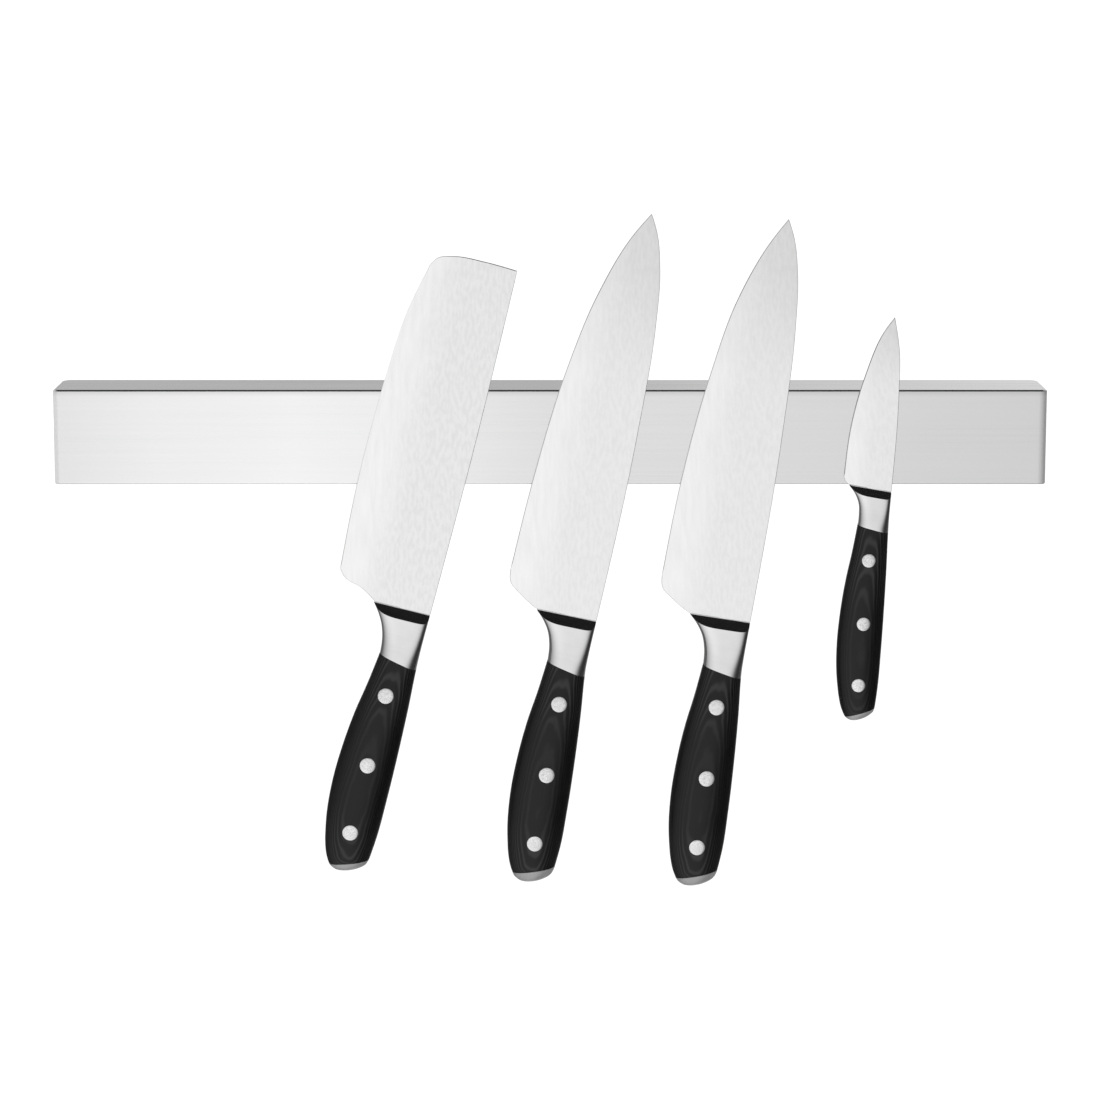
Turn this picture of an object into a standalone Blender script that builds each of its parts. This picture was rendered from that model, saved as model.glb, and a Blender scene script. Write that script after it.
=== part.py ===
"""Magnetic knife rack with four kitchen knives held on its front face.

Axes: +X along the bar to the right, +Z up, and the front of the bar faces -Y.
The origin is the centre of the bar's back, in the plane of the wall (Y = 0).

Each knife is modelled in its own frame, hung on an empty:
  local X runs along the spine towards the tip,
  local Y runs across the blade from the spine to the cutting edge,
  local Z is through the thickness, towards the viewer's side.
The empty's origin is where the spine meets the bolster.
"""

import math

import bmesh
import bpy
from mathutils import Matrix, Vector

MM = 0.001
GAP = 0.3 * MM
OVERSHOOT = 5 * MM
THROUGH = 60 * MM

# The bar
RACK_LENGTH = 500 * MM
RACK_HEIGHT = 48.6 * MM
RACK_DEPTH = 26 * MM
SHEET = 0.9 * MM
BEND_RADIUS = 1.3 * MM
BEND_BEVEL = 0.78 * MM
BEND_STOP = 0.5 * MM
END_TAPER = 2.2 * MM
BACK_CORNER_RADIUS = 5 * MM
BACK_LIP = 1 * MM

# Pole rails and magnets, stacked behind the front sheet
RAIL_LENGTH = 470 * MM
RAIL_HEIGHT = 17 * MM
RAIL_THICKNESS = 2 * MM
RAIL_GAP = 6 * MM
MAGNET_COUNT = 8
MAGNET_PITCH = 58 * MM
MAGNET_LENGTH = 50 * MM
MAGNET_HEIGHT = 30 * MM
MAGNET_THICKNESS = 7 * MM

# The tray
TRAY_LENGTH = 486 * MM
TRAY_WALL = 2.5 * MM
TRAY_FLOOR = 3 * MM
BOSS_RADIUS = 4 * MM

# The back plate, its keyholes and its screws
PLATE_LENGTH = 482 * MM
PLATE_THICKNESS = 1.5 * MM
PLATE_CORNER_RADIUS = 4 * MM
KEYHOLE_X = 150 * MM
KEYHOLE_HEAD_RADIUS = 4.8 * MM
KEYHOLE_HEAD_Z = -4 * MM
KEYHOLE_SLOT_WIDTH = 5 * MM
KEYHOLE_SLOT_TOP_Z = 7 * MM
SCREW_X = (-225 * MM, -75 * MM, 75 * MM, 225 * MM)
SCREW_HEAD_RADIUS = 3.2 * MM
SCREW_SHANK_RADIUS = 1.5 * MM
SCREW_LENGTH = 9 * MM
SCREW_RECESS_LENGTH = 3.4 * MM
SCREW_RECESS_WIDTH = 0.8 * MM
SCREW_RECESS_DEPTH = 0.9 * MM

FRONT_Y = -RACK_DEPTH
TRAY_FRONT_Y = FRONT_Y + SHEET + GAP
RAIL_BACK_Y = TRAY_FRONT_Y + RAIL_THICKNESS
MAGNET_FRONT_Y = RAIL_BACK_Y + GAP
MAGNET_BACK_Y = MAGNET_FRONT_Y + MAGNET_THICKNESS
TRAY_FLOOR_Y = MAGNET_BACK_Y + GAP
TRAY_BACK_Y = -PLATE_THICKNESS - GAP

# The full-size handle, in the knife's own frame, in millimetres: (x, y) or (x, value) points
BOLSTER_LENGTH = 24.8
HANDLE_SPINE = ((0, 0), (-28, 0), (-50, -1.5), (-75, -2.6), (-100, -3.1), (-120, -2.9), (-132, -1.7))
SPINE_BUTT = ((-132, -1.7), (-135.2, -0.5), (-138.2, 2.8), (-140.4, 7.2), (-141.3, 11))
HANDLE_BELLY = ((-24.8, 20.1), (-42, 22.3), (-59, 25), (-78, 26.8), (-96, 27.3), (-114, 26), (-127, 23.6))
BELLY_BUTT = ((-127, 23.6), (-137.4, 19.8), (-139.8, 18.2), (-141.3, 15.3))
HALF_THICKNESS = ((4, 5.6), (-12, 6.2), (-28, 7.2), (-60, 8.6), (-95, 9.3), (-125, 8.9), (-137, 7.2), (-141.3, 5.2))
FOOT_LINE = (-24.8, 20)
FOOT_LINE_SLOPE = -0.21
CAP_LINE = (-139.3, 18.8)
CAP_LINE_SLOPE = 0.355
SHOULDER_HALF_WIDTH = 1.4
SHOULDER_REACH = 12
NECK_Y = (5, 16)
NECK_TOP = 2.5
NECK_OVERLAP = 7
TANG_SHRINK = 0.05
RIVET_X = (-44.7, -82.3, -119.1)
RIVET_RADIUS = 4.0
RIVET_PROUD = 0.1
CORNER_POWER_BOLSTER = 4.2
CORNER_POWER_HANDLE = 2.4

# Mesh fineness
CURVE_STEPS = 4
ROUND_SIDES = 16
SECTION_POINTS = 24
STATIONS = (4, 0, -3, -6, -10, -15, -20, -24.8, -33, -45, -60, -76, -92, -106, -117, -126, -132,
            -135, -137.4, -139.5, -140.8, -141.3)


class Knife:
    """The sizes of one knife. Lengths are in millimetres, angles in degrees."""

    def __init__(self, name, place, tilt, blade_runs, bolster_belly, rivet_y, droop, spine_bulge=1.0,
                 shoulder_slant=0.0, grip_scale=1.0, width_scale=1.0, spine_half=1.15, distal_taper=0.0018,
                 grind=0.0165):
        self.name = name
        self.place = place
        self.tilt = tilt
        self.blade_runs = blade_runs
        self.bolster_belly = bolster_belly
        self.bolster_length = -bolster_belly[-1][0]
        self.rivet_y = rivet_y
        self.droop = droop
        self.spine_bulge = spine_bulge
        self.shoulder_slant = shoulder_slant
        self.grip_scale = grip_scale
        self.width_scale = width_scale
        self.spine_half = spine_half
        self.distal_taper = distal_taper
        self.grind = grind
        self.tang_half = 0.78 * spine_half
        self.rivet_radius = RIVET_RADIUS * width_scale ** 0.6
        self.empty = None

    def part_name(self, piece):
        return self.name.replace("_knife", "") + "_" + piece

    def along(self, x):
        """Where a station of the full-size handle lies on this knife."""
        if x > -BOLSTER_LENGTH:
            return x * self.bolster_length / BOLSTER_LENGTH
        return -self.bolster_length + (x + BOLSTER_LENGTH) * self.grip_scale

    def sag(self, x):
        """How far the handle's axis has swung towards the edge side at x, below the bolster."""
        return math.tan(math.radians(self.droop)) * max(-self.bolster_length - x, 0)


def chef_runs(length, tip_drop, trim):
    """The outline of a chef's blade: spine, edge and heel, as smooth runs that meet at corners."""
    spine = ((BLADE_FOOT, 0), (100, -0.3), (0.74 * length, 0.14 * tip_drop), (0.87 * length, 0.37 * tip_drop),
             (0.96 * length, 0.72 * tip_drop), (length, tip_drop))
    edge = ((length, tip_drop), (0.945 * length, tip_drop + 6.4), (0.785 * length, 34 - trim),
            (0.595 * length, 41.3 - trim), (0.335 * length, 46.2), (18, 48.1))
    heel = ((18, 48.1), (11.2, 46.8), (6, 40.7), (BLADE_FOOT, 31.5))
    return (spine, edge, heel)


BLADE_FOOT = GAP / MM
NAKIRI_RUNS = (
    ((BLADE_FOOT, 0), (90, -0.9), (182.7, 0)),
    ((182.7, 0), (183.2, 16), (182, 33), (179.3, 40.2), (174.8, 43.1)),
    ((174.8, 43.1), (150, 48.4), (110, 51.3), (60, 52.2), (12.5, 50)),
    ((12.5, 50), (9, 47.2), (5.2, 36.8), (BLADE_FOOT, 29)),
)
PARING_RUNS = (
    ((BLADE_FOOT, 0), (50, -0.1), (72.8, 1.3), (89.5, 4.9)),
    ((89.5, 4.9), (82.3, 9.5), (58.9, 17.6), (32.7, 22.8), (6.5, 24.4)),
    ((6.5, 24.4), (4.4, 23.6), (2.4 + BLADE_FOOT, 21.5)),
)
NAKIRI_BOLSTER = ((0, 29.3), (-4, 26.3), (-9.5, 23.2), (-17, 20.9), (-24.8, 20.1))
CHEF_BOLSTER = ((0.5, 31.4), (-4, 27), (-9.5, 23.3), (-17, 20.9), (-24.8, 20.1))
PARING_BOLSTER = ((2.4, 21.5), (-1.8, 18.2), (-7, 16), (-12, 15.5), (-17.4, 15.6))

KNIVES = (
    Knife("nakiri_knife", (-60.9, -92), 14.1, NAKIRI_RUNS, NAKIRI_BOLSTER, rivet_y=11.8, droop=0.4,
          spine_bulge=0.75),
    Knife("chef_left_knife", (23.5, -95.1), 11.8, chef_runs(210.3, 16.1, trim=0), CHEF_BOLSTER, rivet_y=10.6,
          droop=-2.2),
    Knife("chef_right_knife", (101.6, -95.8), 8.8, chef_runs(207.4, 14.4, trim=0.8), CHEF_BOLSTER,
          rivet_y=10.6, droop=-1.5),
    Knife("paring_knife", (172.3, -28), 3.45, PARING_RUNS, PARING_BOLSTER, rivet_y=8.9, droop=0.4,
          spine_bulge=0.6, shoulder_slant=6.4, grip_scale=0.875, width_scale=0.78, spine_half=0.9,
          distal_taper=0.002, grind=0.021),
)


# Scene set-up

def clear_scene():
    for existing in list(bpy.data.objects):
        bpy.data.objects.remove(existing, do_unlink=True)


def new_collection(name):
    collection = bpy.data.collections.new(name)
    bpy.context.scene.collection.children.link(collection)
    return collection


def new_material(name, color, roughness, metallic):
    material = bpy.data.materials.new(name)
    material.use_nodes = True
    shader = material.node_tree.nodes["Principled BSDF"]
    shader.inputs["Base Color"].default_value = (*color, 1.0)
    shader.inputs["Roughness"].default_value = roughness
    shader.inputs["Metallic"].default_value = metallic
    return material


# Curves through points

def tangents(points):
    """The slope vector at each point of a smooth run, from the points on either side of it."""
    lengths = [max((b - a).length, 1e-9) for a, b in zip(points, points[1:])]
    chords = [(b - a) / length for a, b, length in zip(points, points[1:], lengths)]
    inner = [
        (chords[i] * lengths[i + 1] + chords[i + 1] * lengths[i]) / (lengths[i] + lengths[i + 1])
        for i in range(len(chords) - 1)
    ]
    first = chords[0] * 1.5 - inner[0] * 0.5 if inner else chords[0]
    last = chords[-1] * 1.5 - inner[-1] * 0.5 if inner else chords[-1]
    return [first, *inner, last]


def smooth_run(corners, steps):
    """Points along a smooth curve that passes through all the given corners."""
    points = [Vector(corner) for corner in corners]
    slopes = tangents(points)
    result = []
    for i in range(len(points) - 1):
        length = (points[i + 1] - points[i]).length
        for step in range(steps):
            t = step / steps
            result.append(
                points[i] * (2 * t**3 - 3 * t**2 + 1)
                + slopes[i] * length * (t**3 - 2 * t**2 + t)
                + points[i + 1] * (3 * t**2 - 2 * t**3)
                + slopes[i + 1] * length * (t**3 - t**2)
            )
    result.append(points[-1])
    return result


def value_at(corners, x):
    """The height at x of a smooth curve through (x, value) points with falling x."""
    if x >= corners[0][0]:
        return corners[0][1]
    dense = smooth_run(corners, 8)
    for a, b in zip(dense, dense[1:]):
        if b.x <= x:
            share = (a.x - x) / max(a.x - b.x, 1e-9)
            return a.y + share * (b.y - a.y)
    return dense[-1].y


def arc(centre, radius, start_degrees, end_degrees, steps):
    """Points along an arc, both ends included."""
    points = []
    for step in range(steps + 1):
        angle = math.radians(start_degrees + (end_degrees - start_degrees) * step / steps)
        points.append((centre[0] + radius * math.cos(angle), centre[1] + radius * math.sin(angle)))
    return points


def rounded_rectangle(length, height, radius, steps=4):
    x = length / 2 - radius
    y = height / 2 - radius
    return (
        arc((x, y), radius, 0, 90, steps)
        + arc((-x, y), radius, 90, 180, steps)
        + arc((-x, -y), radius, 180, 270, steps)
        + arc((x, -y), radius, 270, 360, steps)
    )


# Solids

def object_from_bmesh(name, bm):
    bmesh.ops.recalc_face_normals(bm, faces=bm.faces)
    mesh = bpy.data.meshes.new(name)
    bm.to_mesh(mesh)
    bm.free()
    return bpy.data.objects.new(name, mesh)


def box(name, low, high):
    """A box between two corners."""
    bm = bmesh.new()
    low = Vector(low)
    high = Vector(high)
    size = high - low
    placement = Matrix.Translation((low + high) / 2) @ Matrix.Diagonal((*size, 1.0))
    bmesh.ops.create_cube(bm, size=1.0, matrix=placement)
    return object_from_bmesh(name, bm)


def cylinder(name, radius, length, sides, placement=Matrix()):
    """A cylinder along local Z, centred on its origin, or moved by a placement."""
    bm = bmesh.new()
    bmesh.ops.create_cone(bm, cap_ends=True, segments=sides, radius1=radius, radius2=radius, depth=length,
                          matrix=placement)
    return object_from_bmesh(name, bm)


def plate(name, outline, thickness):
    """A flat outline in the XY plane, extruded to both sides of it and welded into one closed mesh."""
    curve = bpy.data.curves.new(name, "CURVE")
    curve.dimensions = "2D"
    curve.fill_mode = "BOTH"
    curve.extrude = thickness / 2
    spline = curve.splines.new("POLY")
    spline.points.add(len(outline) - 1)
    for point, corner in zip(spline.points, outline):
        point.co = (corner[0], corner[1], 0, 1)
    spline.use_cyclic_u = True
    guide = bpy.data.objects.new(name + "_outline", curve)
    bpy.context.scene.collection.objects.link(guide)
    bpy.context.view_layer.update()
    evaluated = guide.evaluated_get(bpy.context.evaluated_depsgraph_get())
    mesh = bpy.data.meshes.new_from_object(evaluated)
    bpy.data.objects.remove(guide, do_unlink=True)
    bpy.data.curves.remove(curve)
    bm = bmesh.new()
    bm.from_mesh(mesh)
    bpy.data.meshes.remove(mesh)
    bmesh.ops.remove_doubles(bm, verts=bm.verts, dist=1e-6)
    return object_from_bmesh(name, bm)


def turned(name, profile, sides):
    """A solid of revolution about local Z, from (radius, z) points that start and end on the axis."""
    mesh = bpy.data.meshes.new(name)
    points = [(radius, 0, z) for radius, z in profile]
    mesh.from_pydata(points, [(i, i + 1) for i in range(len(points) - 1)], [])
    piece = bpy.data.objects.new(name, mesh)
    screw = piece.modifiers.new("Turn", "SCREW")
    screw.steps = sides
    screw.render_steps = sides
    screw.use_merge_vertices = True
    screw.merge_threshold = 0.00001
    return piece


def add_part(piece, material, parent=None):
    """Put a finished sub-part in the object's collection, with its material and smooth shading."""
    parts_collection.objects.link(piece)
    piece.data.materials.clear()
    piece.data.materials.append(material)
    piece.data.shade_smooth()
    piece.data.set_sharp_from_angle(angle=math.radians(30))
    piece.parent = parent
    return piece


def add_cutter(piece, parent=None):
    cutter_collection.objects.link(piece)
    piece.hide_render = True
    piece.display_type = "WIRE"
    piece.parent = parent
    return piece


def boolean(piece, cutter, operation="DIFFERENCE"):
    modifier = piece.modifiers.new(operation.title(), "BOOLEAN")
    modifier.operation = operation
    modifier.object = cutter


# The rack

def cover_outline(inset, mouth=()):
    """The cover's plan: ends that lean in towards the wall and turn in at the back corners.

    Further points between the two back corners can make a mouth in the back."""
    half = RACK_LENGTH / 2 - inset
    back_half = half - END_TAPER
    front = FRONT_Y + inset
    bend = BEND_RADIUS - inset if inset < BEND_RADIUS else 0
    turn = BACK_CORNER_RADIUS - inset
    right = arc((half - bend, front + bend), bend, -90, 0, 3)
    right += arc((back_half - turn, -inset - turn), turn, 0, 90, 5)
    left = [(-x, y) for x, y in reversed(right)]
    return [*right, *mouth, *left]


def round_bends(piece):
    """Round the long bends and the end corners, between the front or ends and the flanges."""
    bm = bmesh.new()
    bm.from_mesh(piece.data)
    half = RACK_HEIGHT / 2
    rims = [
        edge for edge in bm.edges
        if all(abs(abs(vert.co.z) - half) < GAP for vert in edge.verts)
        and len(edge.link_faces) == 2
        and edge.calc_face_angle(0) > 0.5
        and any(vert.co.y < -BEND_STOP for vert in edge.verts)
    ]
    bmesh.ops.bevel(bm, geom=rims, offset=BEND_BEVEL, segments=2, profile=0.5, affect="EDGES",
                    clamp_overlap=True)
    bm.to_mesh(piece.data)
    bm.free()


def make_front_cover(material):
    cover = plate("front_cover", cover_outline(0), RACK_HEIGHT)
    round_bends(cover)
    mouth_half = RACK_LENGTH / 2 - END_TAPER - BACK_CORNER_RADIUS - BACK_LIP
    mouth = ((mouth_half, -SHEET), (mouth_half, OVERSHOOT), (-mouth_half, OVERSHOOT), (-mouth_half, -SHEET))
    hollow = add_cutter(plate("cover_hollow", cover_outline(SHEET, mouth), RACK_HEIGHT - 2 * SHEET))
    boolean(cover, hollow)
    add_part(cover, material)


def make_pole_rails(material):
    for name, side in (("upper_pole_rail", 1), ("lower_pole_rail", -1)):
        low = side * RAIL_GAP / 2
        high = low + side * RAIL_HEIGHT
        rail = box(name, (-RAIL_LENGTH / 2, TRAY_FRONT_Y, min(low, high)),
                   (RAIL_LENGTH / 2, RAIL_BACK_Y, max(low, high)))
        add_part(rail, material)


def magnet_x(index):
    return (index - (MAGNET_COUNT - 1) / 2) * MAGNET_PITCH


def make_magnets(material):
    for index in range(MAGNET_COUNT):
        magnet = box(f"magnet_{index + 1}",
                     (-MAGNET_LENGTH / 2, MAGNET_FRONT_Y, -MAGNET_HEIGHT / 2),
                     (MAGNET_LENGTH / 2, MAGNET_BACK_Y, MAGNET_HEIGHT / 2))
        magnet.location.x = magnet_x(index)
        add_part(magnet, material)


def make_magnet_tray(material):
    half_length = TRAY_LENGTH / 2
    half_height = RACK_HEIGHT / 2 - SHEET - GAP
    tray = box("magnet_tray", (-half_length, TRAY_FRONT_Y, -half_height),
               (half_length, TRAY_BACK_Y, half_height))
    rail_half = RAIL_LENGTH / 2 + GAP
    rail_top = RAIL_GAP / 2 + RAIL_HEIGHT + GAP
    seat = add_cutter(box("rail_seat", (-rail_half, TRAY_FRONT_Y - OVERSHOOT, -rail_top),
                          (rail_half, RAIL_BACK_Y + GAP, rail_top)))
    boolean(tray, seat)
    for index in range(MAGNET_COUNT):
        pocket = add_cutter(box(f"magnet_pocket_{index + 1}",
                                (-MAGNET_LENGTH / 2 - GAP, RAIL_BACK_Y, -MAGNET_HEIGHT / 2 - GAP),
                                (MAGNET_LENGTH / 2 + GAP, TRAY_FLOOR_Y, MAGNET_HEIGHT / 2 + GAP)))
        pocket.location.x = magnet_x(index)
        boolean(tray, pocket)
    inner_length = half_length - TRAY_WALL
    inner_height = half_height - TRAY_WALL
    rear = add_cutter(box("tray_rear_pocket", (-inner_length, TRAY_FLOOR_Y + TRAY_FLOOR, -inner_height),
                          (inner_length, OVERSHOOT, inner_height)))
    boolean(tray, rear)
    along_y = Matrix.Rotation(math.radians(90), 4, "X")
    boss_front = TRAY_FLOOR_Y + TRAY_FLOOR / 2
    boss_length = TRAY_BACK_Y - boss_front
    for index, x in enumerate(SCREW_X):
        middle = Matrix.Translation((x, boss_front + boss_length / 2, 0))
        boss = add_cutter(cylinder(f"screw_boss_{index + 1}", BOSS_RADIUS, boss_length, ROUND_SIDES, middle @ along_y))
        boolean(tray, boss, "UNION")
        hole_length = 2 * (SCREW_LENGTH + GAP)
        pilot = add_cutter(cylinder(f"screw_pilot_{index + 1}", SCREW_SHANK_RADIUS + GAP, hole_length,
                                    ROUND_SIDES, Matrix.Translation((x, 0, 0)) @ along_y))
        boolean(tray, pilot)
    add_part(tray, material)


def keyhole_outline():
    """A round hole for the wall screw's head, opening upwards into a narrow slot."""
    half = KEYHOLE_SLOT_WIDTH / 2
    lip = math.degrees(math.asin(half / KEYHOLE_HEAD_RADIUS))
    head = arc((0, KEYHOLE_HEAD_Z), KEYHOLE_HEAD_RADIUS, 90 + lip, 450 - lip, ROUND_SIDES)
    slot_end = arc((0, KEYHOLE_SLOT_TOP_Z - half), half, 0, 180, 6)
    return head + slot_end


def upright(piece, x=0.0, y=0.0):
    """Turn a piece made in the XY plane so that it stands parallel to the wall."""
    piece.rotation_euler.x = math.radians(90)
    piece.location = (x, y, 0)
    return piece


def make_back_plate(material):
    height = RACK_HEIGHT - 2 * (SHEET + GAP)
    outline = rounded_rectangle(PLATE_LENGTH, height, PLATE_CORNER_RADIUS)
    back_plate = upright(plate("back_plate", outline, PLATE_THICKNESS), y=-PLATE_THICKNESS / 2)
    for side, name in ((-1, "left"), (1, "right")):
        keyhole = upright(plate(f"keyhole_{name}", keyhole_outline(), 4 * PLATE_THICKNESS), x=side * KEYHOLE_X)
        boolean(back_plate, add_cutter(keyhole))
    for index, x in enumerate(SCREW_X):
        profile = (
            (0, PLATE_THICKNESS),
            (SCREW_HEAD_RADIUS + GAP + PLATE_THICKNESS, PLATE_THICKNESS),
            (SCREW_HEAD_RADIUS + GAP, 0),
            (SCREW_SHANK_RADIUS + GAP, -PLATE_THICKNESS),
            (SCREW_SHANK_RADIUS + GAP, -3 * PLATE_THICKNESS),
            (0, -3 * PLATE_THICKNESS),
        )
        sink = add_cutter(turned(f"countersink_{index + 1}", profile, ROUND_SIDES))
        sink.rotation_euler.x = math.radians(-90)
        sink.location.x = x
        boolean(back_plate, sink)
    add_part(back_plate, material)


def make_backplate_screws(material):
    """Countersunk screws whose heads lie flush with the wall plane, each with a cross recess."""
    for index, x in enumerate(SCREW_X):
        profile = (
            (0, 0),
            (SCREW_HEAD_RADIUS, 0),
            (SCREW_SHANK_RADIUS, -PLATE_THICKNESS),
            (SCREW_SHANK_RADIUS, -SCREW_LENGTH + SCREW_SHANK_RADIUS),
            (0, -SCREW_LENGTH),
        )
        screw = turned(f"backplate_screw_{index + 1}", profile, ROUND_SIDES)
        screw.rotation_euler.x = math.radians(-90)
        screw.location.x = x
        for turn, name in ((0, "a"), (90, "b")):
            recess = add_cutter(box(f"cross_recess_{index + 1}{name}",
                                    (-SCREW_RECESS_LENGTH / 2, -SCREW_RECESS_WIDTH / 2, -SCREW_RECESS_DEPTH),
                                    (SCREW_RECESS_LENGTH / 2, SCREW_RECESS_WIDTH / 2, SCREW_RECESS_DEPTH)))
            recess.rotation_euler = (math.radians(-90), math.radians(turn), 0)
            recess.location.x = x
            boolean(screw, recess)
        add_part(screw, material)


# The knives

def knife_empty(knife):
    """An empty that hangs the knife on the bar, leaning so that the blade's back face lies flat on it."""
    tilt = math.radians(knife.tilt)
    along = Vector((math.sin(tilt), knife.distal_taper, math.cos(tilt))).normalized()
    across = Vector((-math.cos(tilt), knife.grind, math.sin(tilt)))
    across = (across - along * across.dot(along)).normalized()
    towards = along.cross(across)
    empty = bpy.data.objects.new(knife.name + "_axes", None)
    depth = FRONT_Y - GAP - knife.spine_half * MM
    turn = Matrix((along, across, towards)).transposed()
    empty.rotation_euler = turn.to_euler()
    empty.location = (knife.place[0] * MM, depth, knife.place[1] * MM)
    parts_collection.objects.link(empty)
    return empty


def handle_section(knife, x):
    """The handle at full-size station x: spine side, belly side, half thickness and corner power."""
    spine = value_at(HANDLE_SPINE if x > SPINE_BUTT[0][0] else SPINE_BUTT, x)
    if spine < 0:
        spine *= knife.spine_bulge
    if x > -BOLSTER_LENGTH:
        belly = value_at(knife.bolster_belly, knife.along(x)) / knife.width_scale
    else:
        belly = value_at(HANDLE_BELLY if x > BELLY_BUTT[0][0] else BELLY_BUTT, x)
    half = value_at(HALF_THICKNESS, x)
    share = min(max((-x - 20) / 40, 0), 1)
    power = CORNER_POWER_BOLSTER + (CORNER_POWER_HANDLE - CORNER_POWER_BOLSTER) * share
    return (spine, belly, half, power)


def handle_solid(knife, name, grow=0.0):
    """The whole outer form of bolster, scales and cap, lofted through rounded sections.

    The sections change from a nearly square-cornered bolster to an oval handle, so it is a loft
    between unlike sections."""
    bm = bmesh.new()
    rings = []
    for x in STATIONS:
        spine, belly, half, power = handle_section(knife, x)
        along = knife.along(x)
        middle = (spine + belly) / 2 * knife.width_scale + knife.sag(along)
        reach = (belly - spine) / 2 * knife.width_scale + grow
        depth = half * knife.width_scale + grow
        ring = []
        for i in range(SECTION_POINTS):
            angle = 2 * math.pi * (i + 0.5) / SECTION_POINTS
            c = math.cos(angle)
            s = math.sin(angle)
            y = middle + reach * math.copysign(abs(c) ** (2 / power), c)
            z = depth * math.copysign(abs(s) ** (2 / power), s)
            ring.append(bm.verts.new((along * MM, y * MM, z * MM)))
        rings.append(ring)
    for a, b in zip(rings, rings[1:]):
        for i in range(SECTION_POINTS):
            j = (i + 1) % SECTION_POINTS
            bm.faces.new((a[i], a[j], b[j], b[i]))
    bm.faces.new(rings[0])
    bm.faces.new(rings[-1])
    return object_from_bmesh(name, bm)


def slanted_region(knife, name, line, slope, shift, keep_above):
    """A thick plate bounded by a slanted line across the handle, on the tip's side or the butt's side."""
    x = knife.along(line[0]) * MM + shift
    y = line[1] * knife.width_scale * MM
    far = THROUGH if keep_above else -THROUGH
    outline = (
        (x - slope * THROUGH, y + THROUGH),
        (x + slope * THROUGH, y - THROUGH),
        (x + far, y - THROUGH),
        (x + far, y + THROUGH),
    )
    return add_cutter(plate(knife.part_name(name), outline, THROUGH), knife.empty)


def blade_outline(knife):
    points = []
    for run in knife.blade_runs:
        points += smooth_run(run, CURVE_STEPS)[:-1]
    last = knife.blade_runs[-1][-1]
    points.append(Vector(last))
    return [point * MM for point in points]


def rivet_places(knife):
    places = []
    for station in RIVET_X:
        x = knife.along(station)
        places.append((x * MM, (knife.rivet_y + knife.sag(x)) * MM))
    return places


def make_blade(knife, material):
    """The ground blade and its full tang, joined through the bolster by a narrower neck."""
    blade = plate(knife.part_name("blade"), blade_outline(knife), 2 * MM)
    for vert in blade.data.vertices:
        half = knife.spine_half * MM - knife.distal_taper * vert.co.x - knife.grind * vert.co.y
        vert.co.z = math.copysign(half, vert.co.z)
    tang_thickness = 2 * knife.tang_half * MM
    neck_low = NECK_Y[0] * knife.width_scale * MM
    neck_high = NECK_Y[1] * knife.width_scale * MM
    neck_end = -(knife.bolster_length + NECK_OVERLAP) * MM
    neck = add_cutter(box(knife.part_name("neck"), (neck_end, neck_low, -tang_thickness / 2),
                          (NECK_TOP * MM, neck_high, tang_thickness / 2)), knife.empty)
    tang = handle_solid(knife, knife.part_name("tang"), grow=-TANG_SHRINK)
    thin = add_cutter(box(knife.part_name("tang_slice"), (-3 * THROUGH, -THROUGH, -tang_thickness / 2),
                          (THROUGH, THROUGH, tang_thickness / 2)), knife.empty)
    boolean(tang, thin, "INTERSECT")
    boolean(tang, slanted_region(knife, "tang_top", FOOT_LINE, FOOT_LINE_SLOPE, -GAP, True))
    boolean(tang, slanted_region(knife, "tang_end", CAP_LINE, CAP_LINE_SLOPE, GAP, False))
    for index, (x, y) in enumerate(rivet_places(knife)):
        hole = add_cutter(cylinder(knife.part_name(f"tang_hole_{index + 1}"), knife.rivet_radius * MM + GAP,
                                   THROUGH, ROUND_SIDES, Matrix.Translation((x, y, 0))), knife.empty)
        boolean(tang, hole)
    add_cutter(tang, knife.empty)
    boolean(blade, neck, "UNION")
    boolean(blade, tang, "UNION")
    add_part(blade, material, knife.empty)


def make_bolster(knife, material):
    """The steel collar, with sloped shoulders up to the blade and a slot for the tang's neck."""
    bolster = handle_solid(knife, knife.part_name("bolster"))
    boolean(bolster, slanted_region(knife, "bolster_foot", FOOT_LINE, FOOT_LINE_SLOPE, 0, True), "INTERSECT")
    slant = math.radians(-knife.shoulder_slant)
    top = add_cutter(box(knife.part_name("bolster_top"), (0, -THROUGH, -THROUGH), (THROUGH, THROUGH, THROUGH)),
                     knife.empty)
    top.rotation_euler.z = slant
    boolean(bolster, top)
    shoulder = SHOULDER_HALF_WIDTH * knife.width_scale * MM
    reach = SHOULDER_REACH * MM
    lead = 1 * MM
    for side, name in ((1, "front"), (-1, "back")):
        outline = (
            (lead, side * (shoulder - lead)),
            (lead, side * (shoulder + reach)),
            (-reach, side * (shoulder + reach)),
        )
        chamfer = plate(knife.part_name("shoulder_" + name), outline, 2 * THROUGH)
        chamfer.rotation_euler = (math.radians(90), 0, slant)
        boolean(bolster, add_cutter(chamfer, knife.empty))
    neck_half = knife.tang_half * MM + GAP
    slot = add_cutter(box(knife.part_name("neck_slot"),
                          (-THROUGH, NECK_Y[0] * knife.width_scale * MM - GAP, -neck_half),
                          (OVERSHOOT, NECK_Y[1] * knife.width_scale * MM + GAP, neck_half)), knife.empty)
    boolean(bolster, slot)
    add_part(bolster, material, knife.empty)


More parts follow.
